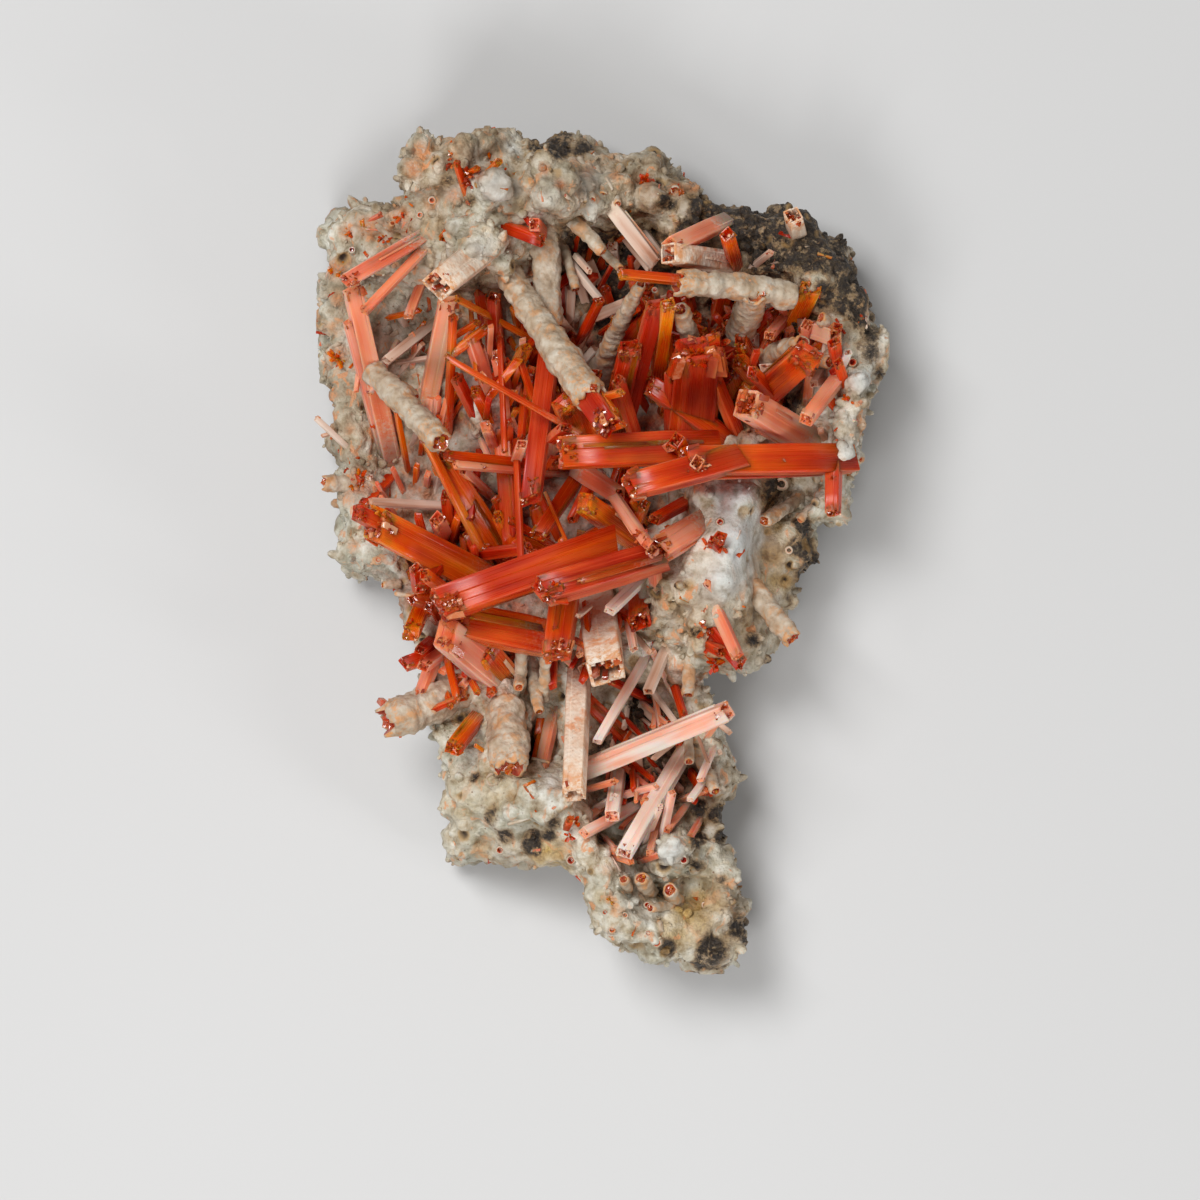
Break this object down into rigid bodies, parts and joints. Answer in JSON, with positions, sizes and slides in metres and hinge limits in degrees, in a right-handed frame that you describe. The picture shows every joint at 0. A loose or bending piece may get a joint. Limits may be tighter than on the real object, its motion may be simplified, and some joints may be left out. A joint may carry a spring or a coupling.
{
  "type": "crocoite specimen on matrix",
  "caption": "Mineral specimen: red-orange prismatic crystals crossing in a hollow of cream-crusted rock that narrows to a tip, lying on its back.",
  "frame": {"origin": "on the resting plane, under the middle of the specimen's outer box", "axes": "+X to the right of the front view, +Y up the front view towards the wide end, +Z out of the crystal-bearing front; the broken back lies on Z = 0"},
  "size_m": [0.0826, 0.122, 0.0399],
  "materials": {
    "rock": "cream, grey and ochre crust over brown-black porous rock, dull",
    "ruby": "deep red-orange crystal, vitreous to resinous, striated",
    "flame": "bright orange crystal, vitreous, striated",
    "rose": "pink-orange crystal under a thin pale film",
    "tan": "brownish pink crystal under a thin film",
    "husk": "crystal under a pinkish cream crust, with a hollow end",
    "crust": "crystal wholly coated in cream botryoidal crust, dull"
  },
  "bodies": {
    "root": {"matrix": "rock", "left_long_cluster": "rose", "top_left_pair": "ruby", "hollow_end_left": "husk", "left_stub": "rose", "upright_rose": "rose", "slim_pair": "flame", "cross_needle_upper": "flame", "grey_bar": "tan", "tall_flame": "flame", "front_ruby": "ruby", "middle_cluster": "flame", "low_bar": "tan", "left_spray": "ruby", "end_upright": "ruby", "diagonal_cluster": "ruby", "lower_cluster": "flame", "white_finger": "crust", "crossbar_cluster": "ruby", "pink_block": "rose", "red_block_pair": "ruby", "red_fan": "ruby", "fan_white": "crust", "pointer": "crust", "orange_upright": "flame", "right_pink": "rose", "right_ruby": "ruby", "upper_pair": "rose", "corner_square": "husk", "arching_rod": "tan", "pale_column": "crust", "drip_finger": "crust", "brown_finger": "crust", "pink_lath": "rose", "hollow_husk": "husk", "pale_strut": "rose", "bright_orange": "flame", "short_column": "crust", "pale_post": "husk", "left_arm": "crust", "orange_stub": "flame", "long_pink": "rose", "strut_white": "rose", "leg_needle": "rose", "leg_ruby": "ruby", "leg_post": "rose", "leg_bar": "rose"}
  },
  "joints": []
}
